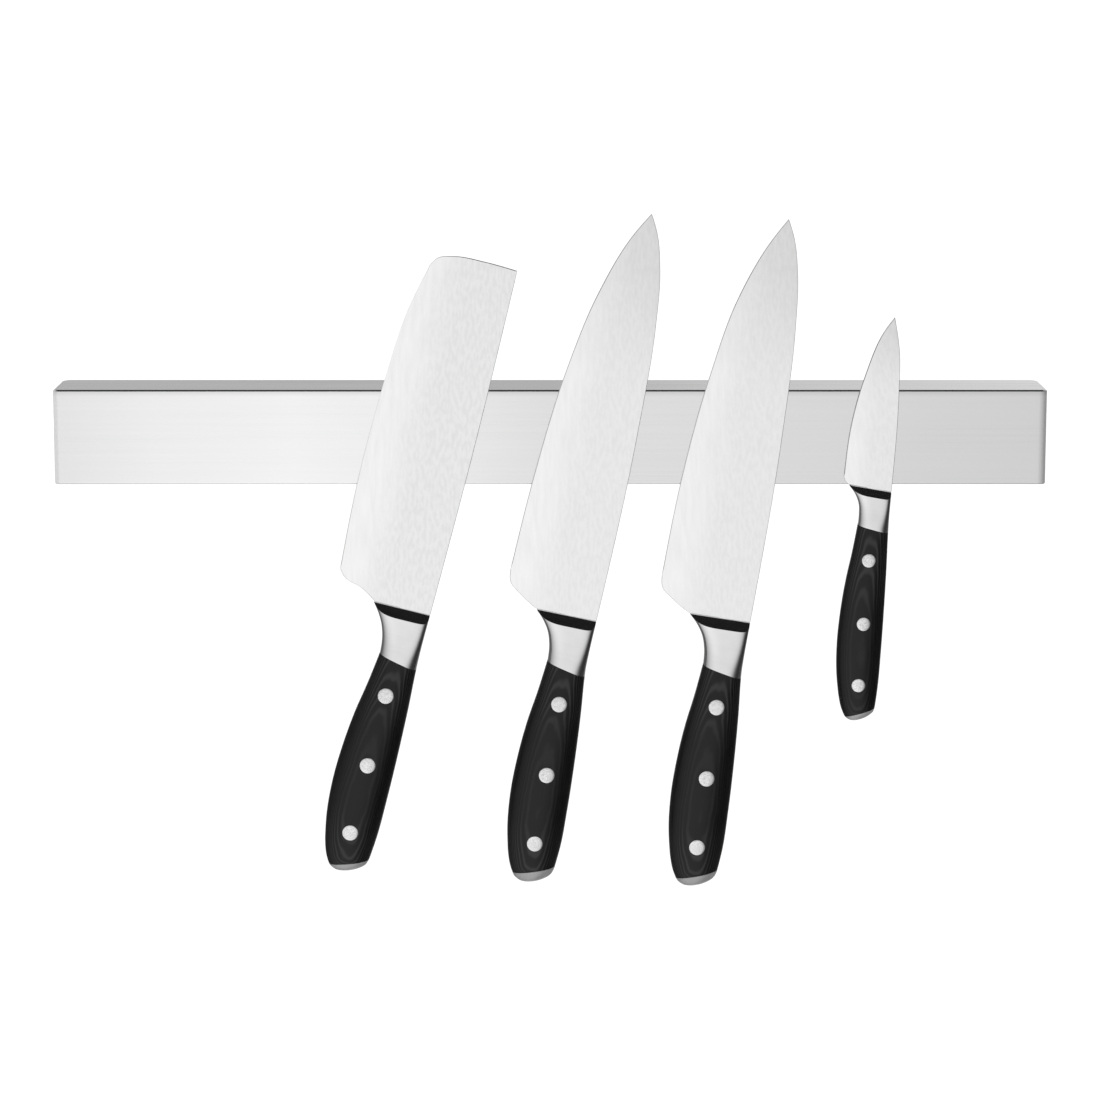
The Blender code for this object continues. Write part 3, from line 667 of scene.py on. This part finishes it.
def blade_material(knife):
    """Layered cladding with faint ripples over the spine side, and a plainer polished band at the edge that
    is also painted lighter than the spine side, with painted shade towards the tip.
    """
    shader = Shader(knife.prefix + "_blade_steel", metallic=1.0, roughness=0.2)
    width = knife.width * MM
    length = knife.length * MM
    low = RIPPLE_TONE - RIPPLE_DEPTH * knife.ripple
    beads = shader.noise((230, 620, 1), detail=1.2, roughness=0.4, turn_degrees=RIPPLE_TURN)
    strands = shader.noise((60, 420, 1), detail=2, turn_degrees=RIPPLE_TURN)
    warp = shader.noise((26, 70, 1), detail=2)
    ripple = shader.mix(0.4, shader.ramp(beads, (0.36, low), (0.62, RIPPLE_TONE)),
                        shader.ramp(strands, (0.35, low), (0.65, RIPPLE_TONE)))
    border = shader.math("ADD", shader.axis("Y"), shader.remap(warp, 0.3, 0.7, -3.0 * MM, 3.0 * MM))
    # The plain band is lighter than the ripples: its own polish, and painted light that leaves the spine side
    # darker
    share = shader.remap(border, width * 0.42, width * 0.86, smooth=True)
    face = shader.mix(share, ripple, PLAIN_BAND_AND_PAINTED_LIGHT)
    # Painted shade: the blade darkens towards the tip, most on the spine side
    tip = shader.remap(shader.axis("X"), length * 0.55, length, smooth=True)
    tip_darkening = shader.math("MULTIPLY", tip, shader.remap(border, 0.0, width, 1.0, 0.2))
    shader.color(shader.mix(tip_darkening, face, shader.times(face, knife.tip_painted_shade)))
    shader.roughness(shader.remap(strands, 0.3, 0.7, 0.17, 0.24))
    shader.bump(beads, 0.03 * knife.ripple, 0.01 * MM)
    return shader.material


def bolster_material():
    """Forged steel, polished across the handle."""
    shader = Shader("polished_bolster_steel", metallic=1.0, roughness=0.16)
    grain = shader.noise((900, 40, 40), detail=4, roughness=0.6)
    cloud = shader.noise((90, 90, 90), detail=2)
    shader.color(shader.mix(0.4, shader.ramp(grain, (0.3, 0.73), (0.7, 0.81)),
                            shader.ramp(cloud, (0.3, 0.70), (0.7, 0.81))))
    shader.roughness(shader.remap(grain, 0.3, 0.7, 0.13, 0.20))
    shader.bump(grain, 0.06, 0.01 * MM)
    return shader.material


def handle_material():
    """Black resin-laminated wood: the layers lie flat, so the rounded grip cuts them in nested contours."""
    shader = Shader("black_laminated_wood", metallic=0.0, roughness=0.34, specular=0.35)
    sway = shader.noise((28, 60, 60), detail=3)
    fibre = shader.noise((120, 1500, 1500), detail=4, roughness=0.65)
    level = shader.math("ADD", shader.axis("Z"), shader.remap(sway, 0.25, 0.75, -LAYER_SWAY, LAYER_SWAY))
    rings = shader.math("SINE", shader.math("MULTIPLY", level, 2 * math.pi / LAYER_PITCH))
    layers = shader.ramp(shader.remap(rings, -1, 1), (0.0, 0.001), (0.5, 0.003), (0.88, 0.024), (1.0, 0.030))
    fibres = shader.ramp(fibre, (0.35, 0.0015), (0.75, 0.007))
    from_middle = shader.math("ABSOLUTE", shader.math("SUBTRACT", shader.axis("X"), GRIP_MIDDLE))
    plain = shader.remap(from_middle, PLAIN_FROM, PLAIN_TO, 0.78, 0.32, smooth=True)
    shader.color(shader.mix(plain, layers, fibres))
    shader.roughness(shader.remap(fibre, 0.3, 0.7, 0.29, 0.40))
    shader.bump(fibre, 0.12, 0.02 * MM)
    return shader.material


def rivet_material():
    """Stainless rivets with a finely peened face."""
    shader = Shader("peened_rivet_steel", metallic=1.0, roughness=0.3)
    pits = shader.noise(2300, detail=2, roughness=0.6)
    shader.color(shader.ramp(pits, (0.34, 0.62), (0.52, 0.90), (0.7, 0.97)))
    shader.roughness(shader.remap(pits, 0.3, 0.7, 0.38, 0.24))
    shader.bump(pits, 0.35, 0.05 * MM)
    return shader.material


def cap_material():
    """The steel butt cap, ground to a duller finish than the bolster."""
    shader = Shader("satin_cap_steel", metallic=0.5, roughness=0.4)
    grain = shader.noise((60, 900, 60), detail=4, roughness=0.6)
    cloud = shader.noise((120, 120, 120), detail=2)
    shader.color(shader.mix(0.4, shader.ramp(grain, (0.3, 0.36), (0.7, 0.46)),
                            shader.ramp(cloud, (0.3, 0.34), (0.7, 0.46))))
    shader.roughness(shader.remap(grain, 0.3, 0.7, 0.34, 0.46))
    shader.bump(grain, 0.08, 0.015 * MM)
    return shader.material


def tray_material():
    """Black moulded ABS with a fine spark-eroded texture."""
    shader = Shader("moulded_tray_plastic", metallic=0.0, roughness=0.5)
    grain = shader.noise(2600, detail=3)
    cloud = shader.noise(60, detail=2)
    shader.color(shader.mix(0.5, shader.ramp(grain, (0.3, 0.020), (0.7, 0.032)),
                            shader.ramp(cloud, (0.3, 0.022), (0.7, 0.034))))
    shader.roughness(shader.remap(grain, 0.3, 0.7, 0.42, 0.60))
    shader.bump(grain, 0.3, 0.03 * MM)
    return shader.material


def pole_material():
    """Mild steel strip, cold rolled, with a thin oxide bloom."""
    shader = Shader("rolled_pole_steel", metallic=1.0, roughness=0.4)
    streak = shader.noise((6, 500, 500), detail=4)
    bloom = shader.noise(90, detail=5, roughness=0.6)
    shader.color(shader.mix(0.5, shader.ramp(streak, (0.3, 0.36), (0.7, 0.48)),
                            shader.ramp(bloom, (0.35, (0.33, 0.31, 0.29)), (0.65, 0.46))))
    shader.roughness(shader.remap(bloom, 0.3, 0.7, 0.34, 0.5))
    shader.bump(streak, 0.1, 0.02 * MM)
    return shader.material


def ferrite_material():
    """Sintered ferrite: charcoal, matte and slightly granular."""
    shader = Shader("sintered_ferrite", metallic=0.0, roughness=0.62)
    grains = shader.noise(1800, detail=5, roughness=0.7)
    cloud = shader.noise(110, detail=2)
    shader.color(shader.mix(0.4, shader.ramp(grains, (0.35, 0.030), (0.65, 0.075)),
                            shader.ramp(cloud, (0.3, 0.045), (0.7, 0.065))))
    shader.roughness(shader.remap(grains, 0.3, 0.7, 0.55, 0.72))
    shader.bump(grains, 0.4, 0.04 * MM)
    return shader.material


def zinc_material(name, frequency):
    """Bright zinc plating with a soft crystalline mottle."""
    shader = Shader(name, metallic=0.7, roughness=0.32)
    cells = shader.add("TexVoronoi")
    cells.inputs["Scale"].default_value = frequency
    shader.feed(shader.coordinates, cells.inputs["Vector"])
    cloud = shader.noise(frequency * 0.3, detail=4, roughness=0.6)
    tone = shader.ramp(cloud, (0.3, (0.60, 0.62, 0.65)), (0.7, (0.74, 0.75, 0.76)))
    shader.color(shader.mix(0.10, tone, cells.outputs["Color"], blend="OVERLAY"))
    shader.roughness(shader.remap(cloud, 0.3, 0.7, 0.26, 0.40))
    shader.bump(cloud, 0.05, 0.02 * MM)
    return shader.material


def floor_material():
    """A pale matt floor with a faint glow of its own, so that it stays as light as the backdrop."""
    shader = Shader("pale_floor", metallic=0.0, roughness=0.9, specular=0.0)
    shader.surface["Base Color"].default_value = (0.97, 0.97, 0.97, 1.0)
    shader.surface["Emission Color"].default_value = (1.0, 1.0, 1.0, 1.0)
    shader.surface["Emission Strength"].default_value = 0.09
    return shader.material


# The bar

def inward_normals(points):
    """The unit normal to the left of an open line's direction, at each of its points."""
    normals = []
    for i, _ in enumerate(points):
        before = points[max(i - 1, 0)]
        after = points[min(i + 1, len(points) - 1)]
        direction = (after - before).normalized()
        normals.append(Vector((-direction.y, direction.x)))
    return normals


def cover_plan(length, front):
    """The cover seen from above, from its left back lip, round the front, to its right back lip."""
    half = length / 2
    back_half = half - END_TAPER
    turn = BACK_CORNER_RADIUS
    right = arc((half - END_BEND, front + END_BEND), END_BEND, -90, 0, 2 * BEND_STEPS)
    right += arc((back_half - turn, -turn), turn, 0, 90, 3 * BEND_STEPS)
    left = [Vector((-point.x, point.y)) for point in reversed(right)]
    return left + right


def make_cover(material):
    """One folded sheet: front, ends and turned back corners, with long bends into the two flanges."""
    low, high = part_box("front_cover")
    plan = cover_plan(high.x - low.x, low.y)
    normals = inward_normals(plan)
    half = (high.z - low.z) / 2
    bends = [min(-point.y / BACK_CORNER_RADIUS, 1) * LONG_BEND for point in plan]
    rows = []
    for side in (1, -1):
        band = []
        for step in range(BEND_STEPS + 1):
            angle = math.radians(90 * step / BEND_STEPS)
            row = []
            for point, normal, bend in zip(plan, normals, bends):
                inset = point + normal * bend * (1 - math.cos(angle))
                row.append(Vector((inset.x, inset.y, side * (half - bend * (1 - math.sin(angle))))))
            band.append(row)
        rows += reversed(band) if side == 1 else band
    verts, faces = loft(rows, closed=False)
    count = len(plan)
    faces.append(tuple(range(count)))
    faces.append(tuple(range(len(verts) - count, len(verts))))
    cover = mesh_piece("folded_steel_cover", verts, faces)
    bm = bmesh.new()
    bm.from_mesh(cover.data)
    front_face = min(bm.faces, key=lambda face: face.calc_center_median().y)
    if front_face.normal.y > 0:
        bmesh.ops.reverse_faces(bm, faces=bm.faces)
    bm.to_mesh(cover.data)
    bm.free()
    sheet = cover.modifiers.new("Sheet", "SOLIDIFY")
    sheet.thickness = SHEET
    sheet.offset = -1
    cover.data.shade_smooth()
    weigh_normals(cover)
    finish_piece(cover, material, "rack", "cover_steel", "front_cover")


# The knives

def blade_rim(knife):
    """The blade's outline with its inward normals and each point's kind of rim."""
    points = []
    kinds = []
    for kind, run in knife.blade_runs:
        dense = smooth_run(run)[:-1]
        points += dense
        kinds += [kind] * len(dense)
    points.append(Vector(knife.blade_runs[-1][1][-1]))
    kinds.append("heel")
    count = len(points)
    insides = []
    for i in range(count):
        before = (points[i] - points[i - 1]).normalized()
        after = (points[(i + 1) % count] - points[i]).normalized()
        bisector = Vector((-(before + after).y, (before + after).x)).normalized()
        cosine = bisector.dot(Vector((-after.y, after.x)))
        insides.append(bisector / max(cosine, MITRE_LIMIT))
    return points, kinds, insides


def rim_profile(kind, half, room):
    """How far in and how thick the rim is at each step from the outline to the flat of the blade."""
    if kind == "edge":
        reach = min(EDGE_BEVEL, room)
        return [(inward * reach, EDGE_HALF + rise * (half - EDGE_HALF)) for inward, rise in EDGE_CURVE]
    radius = min(SPINE_ROUND if kind == "spine" else HEEL_ROUND, ROUND_LIMIT * half, room)
    profile = []
    for degrees in ROUND_DEGREES:
        angle = math.radians(degrees)
        profile.append((radius * (1 - math.cos(angle)), half - radius * (1 - math.sin(angle))))
    return profile


def make_blade(knife, material):
    """The ground blade with its rounded spine and edge bevel, and the tang that runs down the handle."""
    points, kinds, insides = blade_rim(knife)
    corners = [Vector(run[-1]) for _, run in knife.blade_runs]
    bands = []
    for step in range(len(ROUND_DEGREES)):
        band = []
        for point, kind, inside in zip(points, kinds, insides):
            room = CORNER_ROOM + CORNER_SPREAD * min((point - corner).length for corner in corners)
            inset, _ = rim_profile(kind, knife.half_blade(point.x, point.y), room)[step]
            place = point + inside * inset
            half = knife.half_blade(place.x, place.y)
            _, thick = rim_profile(kind, half, room)[step]
            band.append(Vector((place.x, place.y, thick)))
        bands.append(band)
    front = list(reversed(bands))
    back = [[Vector((point.x, point.y, -point.z)) for point in band] for band in bands]
    blade = loft(front + back)
    tang = loft(tang_rows(knife))
    name = knife.prefix + "_blade_ground"
    piece = mesh_piece(name, *in_metres(join_shapes(blade, tang)), axes=knife.axes)
    crisp(piece, BLADE_CREASE)
    sharpen_flats(piece)
    finish_piece(piece, material, knife.body, "blade_steel", knife.prefix + "_blade")


def sharpen_flats(piece):
    """Mark the border of each large many-sided face sharp, so that it is shaded flat."""
    bm = bmesh.new()
    bm.from_mesh(piece.data)
    for face in bm.faces:
        if len(face.verts) > 4:
            for edge in face.edges:
                edge.smooth = False
    bm.to_mesh(piece.data)
    bm.free()


def tang_rows(knife):
    """Four-cornered sections from inside the blade, through the bolster and down between the scales."""
    half = knife.tang_half
    neck = [y * knife.width_scale for y in NECK_Y]

    def row(line, edge_y, spine_y):
        return [
            Vector((line.x(edge_y), edge_y, half)),
            Vector((line.x(spine_y), spine_y, half)),
            Vector((line.x(spine_y), spine_y, -half)),
            Vector((line.x(edge_y), edge_y, -half)),
        ]

    rows = [row(Line(NECK_TOP, 0), neck[1], neck[0]), row(knife.foot_line, neck[1], neck[0])]
    for step in range(SCALE_ROWS + 1):
        line = knife.foot_line.towards(knife.cap_line, step / SCALE_ROWS)
        edge_angle, spine_angle = knife.rim_angles(line.x(READING_Y), half)
        edge_y = knife.on_line(line, edge_angle).y - SEAM
        spine_y = knife.on_line(line, spine_angle).y + SEAM
        rows.append(row(line, edge_y, spine_y))
    return rows


def shoulder_point(knife, angle):
    """Where the sloped shoulder cuts the bolster's side, and how far below the top that is."""
    depth = 0.0
    for _ in range(SOLVE_STEPS):
        line = Line(knife.top_line.start - depth, knife.top_line.slope)
        point = knife.on_line(line, angle)
        depth = max(abs(point.z) - knife.shoulder, 0)
    return point, depth


def make_bolster(knife, material):
    """The collar: sides from the foot up to the shoulders, 45 degree shoulders, and a narrow top."""
    angles = [2 * math.pi * (i + 0.5) / BOLSTER_POINTS for i in range(BOLSTER_POINTS)]
    shoulders = [shoulder_point(knife, angle) for angle in angles]
    rows = []
    for step in range(BOLSTER_ROWS + 1):
        share = step / BOLSTER_ROWS
        row = []
        for angle, (shoulder, depth) in zip(angles, shoulders):
            line = knife.foot_line.towards(Line(knife.top_line.start - depth, knife.top_line.slope), share)
            row.append(knife.on_line(line, angle))
        rows.append(row)
    top = []
    for shoulder, _ in shoulders:
        z = math.copysign(min(abs(shoulder.z), knife.shoulder), shoulder.z)
        top.append(Vector((knife.top_line.x(shoulder.y), shoulder.y, z)))
    rows.append(top)
    piece = mesh_piece(knife.prefix + "_bolster_forged", *in_metres(loft(rows)), axes=knife.axes)
    soften_edges(piece, *BOLSTER_SOFTENING)
    finish_piece(piece, material, knife.body, "bolster_steel", knife.prefix + "_bolster")


def make_scale(knife, side, name, material):
    """One half of the grip: a crowned outside over a flat inside that lies on the tang."""
    inner = knife.tang_half + TANG_GAP
    rows = []
    top = Line(knife.foot_line.start - SEAM, knife.foot_line.slope)
    end = Line(knife.cap_line.start + SEAM, knife.cap_line.slope)
    for step in range(SCALE_ROWS + 1):
        line = top.towards(end, step / SCALE_ROWS)
        first, last = knife.rim_angles(line.x(READING_Y), inner)
        row = []
        for i in range(SCALE_POINTS + 1):
            angle = first + (last - first) * i / SCALE_POINTS
            point = knife.on_line(line, angle)
            if i in (0, SCALE_POINTS):
                point.z = inner
            row.append(Vector((point.x, point.y, side * point.z)))
        rows.append(row)
    piece = mesh_piece(knife.prefix + name + "_grip", *in_metres(loft(rows)), axes=knife.axes)
    crisp(piece, GRIP_CREASE)
    sharpen_flats(piece)
    finish_piece(piece, material, knife.body, "handle_wood", knife.prefix + name)


def make_rivet(knife, index, material):
    """A rivet through the handle, its two heads dressed to the grip's curve with a rounded rim."""
    place = knife.rivet_place(index)
    rows = []
    for side in (1, -1):
        rings = []
        for share in RIVET_RINGS:
            ring = []
            for i in range(RIVET_POINTS):
                angle = 2 * math.pi * i / RIVET_POINTS
                x = place.x + share * knife.rivet_radius * math.cos(angle)
                y = place.y + share * knife.rivet_radius * math.sin(angle)
                proud = RIVET_PROUD * (1 - share**RIVET_FLATNESS)
                ring.append(Vector((x, y, side * (knife.height(x, y) + proud))))
            rings.append(ring)
        rows += rings if side == 1 else list(reversed(rings))
    name = f"{knife.prefix}_rivet_{index + 1}"
    piece = mesh_piece(name + "_head", *in_metres(loft(rows)), axes=knife.axes)
    crisp(piece, RIVET_CREASE)
    finish_piece(piece, material, knife.body, "rivet_steel", name)


def make_cap(knife, material):
    """The butt cap, from its slanted joint with the scales to its rounded end."""
    end = Line(knife.along(BUTT_END) + END_INSET, 0)
    angles = [2 * math.pi * (i + 0.5) / BOLSTER_POINTS for i in range(BOLSTER_POINTS)]
    rows = []
    for step in range(CAP_ROWS + 1):
        share = math.sin(math.pi / 2 * step / CAP_ROWS)
        line = knife.cap_line.towards(end, share)
        rows.append([knife.on_line(line, angle) for angle in angles])
    piece = mesh_piece(knife.prefix + "_butt_cap", *in_metres(loft(rows)), axes=knife.axes)
    soften_edges(piece, *CAP_SOFTENING)
    finish_piece(piece, material, knife.body, "cap_steel", knife.prefix + "_end_cap")


def make_knife(knife, materials):
    make_blade(knife, blade_material(knife))
    make_bolster(knife, materials["bolster"])
    make_scale(knife, 1, "_scale_front", materials["wood"])
    make_scale(knife, -1, "_scale_back", materials["wood"])
    for index in range(len(RIVET_X)):
        make_rivet(knife, index, materials["rivet"])
    make_cap(knife, materials["cap"])


# The CAD nodes that stay

def dress_nodes():
    """Give the parts inside and behind the bar their materials, by how their names begin."""
    looks = {
        "magnet_tray": tray_material(),
        "magnet_": ferrite_material(),
        "upper_pole_rail": pole_material(),
        "back_plate": zinc_material("zinc_back_plate", PLATE_MOTTLE),
        "backplate_screw": zinc_material("zinc_screw", SCREW_MOTTLE),
    }
    looks["lower_pole_rail"] = looks["upper_pole_rail"]
    for name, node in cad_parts.items():
        material = next((look for start, look in looks.items() if name.startswith(start)), None)
        if material:
            node.data.materials.clear()
            node.data.materials.append(material)
            crisp(node, NODE_CREASE)


# Studio

CAMERA_DISTANCE = 2.5
CAMERA_ELEVATION = 13.2
CAMERA_TARGET = Vector((0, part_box("front_cover")[0].y, -0.0583))
CAMERA_LENS = 161.53
FLOOR_DROP = 0.9
FLOOR_HALF = 30


def make_camera():
    rise = math.radians(CAMERA_ELEVATION)
    camera = bpy.data.objects.new("camera", bpy.data.cameras.new("camera"))
    camera.data.lens = CAMERA_LENS
    camera.data.clip_end = 4 * FLOOR_HALF
    camera.location = CAMERA_TARGET + CAMERA_DISTANCE * Vector((0, -math.cos(rise), math.sin(rise)))
    camera.rotation_euler = (math.pi / 2 - rise, 0, 0)
    bpy.context.scene.collection.objects.link(camera)
    bpy.context.scene.camera = camera


def make_floor():
    """A wide pale floor well below the bar, which the metal doesn't mirror."""
    z = cad_bounds[0][2] - FLOOR_DROP
    corners = [(-FLOOR_HALF, -FLOOR_HALF, z), (FLOOR_HALF, -FLOOR_HALF, z), (FLOOR_HALF, FLOOR_HALF, z),
               (-FLOOR_HALF, FLOOR_HALF, z)]
    floor = mesh_piece("studio_floor", corners, [(0, 1, 2, 3)])
    floor.data.materials.append(floor_material())
    floor.visible_glossy = False


# What the metal mirrors: brightness round the horizon, from the back round the bar's left end, the front (0)
# and its right end (+90) to the back, and brightness with height, in front of the bar and behind it
AROUND = ((-180, 0.66), (-173, 0.60), (-165, 0.32), (-150, 0.14), (-125, 0.10), (-105, 0.14), (-90, 0.28),
          (-72, 0.50), (-55, 0.68), (-35, 0.92), (-15, 1.10), (-5, 1.08), (5, 0.98), (14, 0.82), (24, 0.46),
          (36, 0.12), (52, 0.03), (75, 0.03), (88, 0.05), (108, 0.04), (128, 0.12), (146, 0.20),
          (160, 0.32), (172, 0.78), (180, 0.68))
FRONT_HEIGHT = ((-90, 1.0), (-66, 1.0), (-45, 1.0), (-15, 1.0), (-8, 0.95), (0, 0.85), (10, 0.55), (20, 0.12),
                (32, 0.02), (90, 0.014))
BACK_HEIGHT = ((-90, 1.1), (-50, 1.2), (-20, 1.1), (0, 1.0), (24, 1.0), (40, 0.75), (55, 0.5), (66, 0.25),
               (76, 0.02), (90, 0.014))
BACK_BLEND = (-0.1, 0.3)

# A soft upper band to either side: its brightness with height, and its share with the angle from the front
BAND_HEIGHT = ((-90, 0.0), (15, 0.0), (23, 0.34), (32, 0.45), (42, 0.36), (56, 0.0), (90, 0.0))
BAND_AROUND = ((0, 0.0), (30, 0.0), (55, 1.0), (148, 1.0), (165, 0.0), (180, 0.0))

# What the darkest parts still give, and the even light on matt surfaces
DARK_GLOW = 0.011
DIFFUSE_LIGHT = 1.12


def make_studio_light():
    """A soft studio: even light on matt surfaces, and a wide card under a dark ceiling for the metal."""
    world = bpy.data.worlds.new("soft_studio")
    world.use_nodes = True
    bpy.context.scene.world = world
    studio = Nodes(world.node_tree)

    def graph(angle, low, high, stops):
        """Brightness against an angle between two limits, from (degrees, brightness) stops."""
        offset = studio.math("SUBTRACT", angle, math.radians(low))
        share = studio.math("DIVIDE", offset, math.radians(high - low))
        return studio.ramp(share, *[((degrees - low) / (high - low), level) for degrees, level in stops])

    direction = studio.add("TexCoord").outputs["Generated"]
    back = studio.part(direction, "Y")
    azimuth = studio.math("ARCTAN2", studio.part(direction, "X"), studio.math("MULTIPLY", back, -1.0))
    elevation = studio.math("ARCSINE", studio.part(direction, "Z"))
    height = studio.mix(studio.remap(back, *BACK_BLEND, smooth=True), graph(elevation, -90, 90, FRONT_HEIGHT),
                        graph(elevation, -90, 90, BACK_HEIGHT))
    card = studio.times(graph(azimuth, -180, 180, AROUND), height)
    band = studio.math("MULTIPLY", graph(elevation, -90, 90, BAND_HEIGHT),
                       graph(studio.math("ABSOLUTE", azimuth), 0, 180, BAND_AROUND))
    mirrored = studio.math("ADD", card, studio.math("ADD", band, DARK_GLOW))
    path = studio.add("LightPath")
    lit = studio.mix(path.outputs["Is Diffuse Ray"], mirrored, DIFFUSE_LIGHT)
    seen = studio.mix(path.outputs["Is Camera Ray"], lit, 1.0)
    studio.feed(seen, world.node_tree.nodes["Background"].inputs["Color"])
    bpy.context.scene.view_settings.view_transform = "Standard"


make_camera()
make_floor()
make_studio_light()
make_cover(cover_material())
dress_nodes()

knives = (
    Knife("nakiri_knife", "nakiri", NAKIRI_RUNS, NAKIRI_BOLSTER, rivet_y=11.8, droop=0.4, spine_bulge=0.75,
          ripple=1.0, tip_painted_shade=1.0),
    Knife("chef_knife_left", "chef_left", chef_runs(210.3, 16.1, trim=0), CHEF_BOLSTER, rivet_y=10.6,
          droop=-2.2),
    Knife("chef_knife_right", "chef_right", chef_runs(207.4, 14.4, trim=0.8), CHEF_BOLSTER, rivet_y=10.6,
          droop=-1.5),
    Knife("paring_knife", "paring", PARING_RUNS, PARING_BOLSTER, rivet_y=8.9, droop=0.4, spine_bulge=0.6,
          shoulder_slant=6.4, grip_scale=0.875, width_scale=0.78, spine_half=0.9, distal_taper=0.002,
          grind=0.021),
)
knife_materials = {
    "bolster": bolster_material(),
    "wood": handle_material(),
    "rivet": rivet_material(),
    "cap": cap_material(),
}
for knife in knives:
    make_knife(knife, knife_materials)
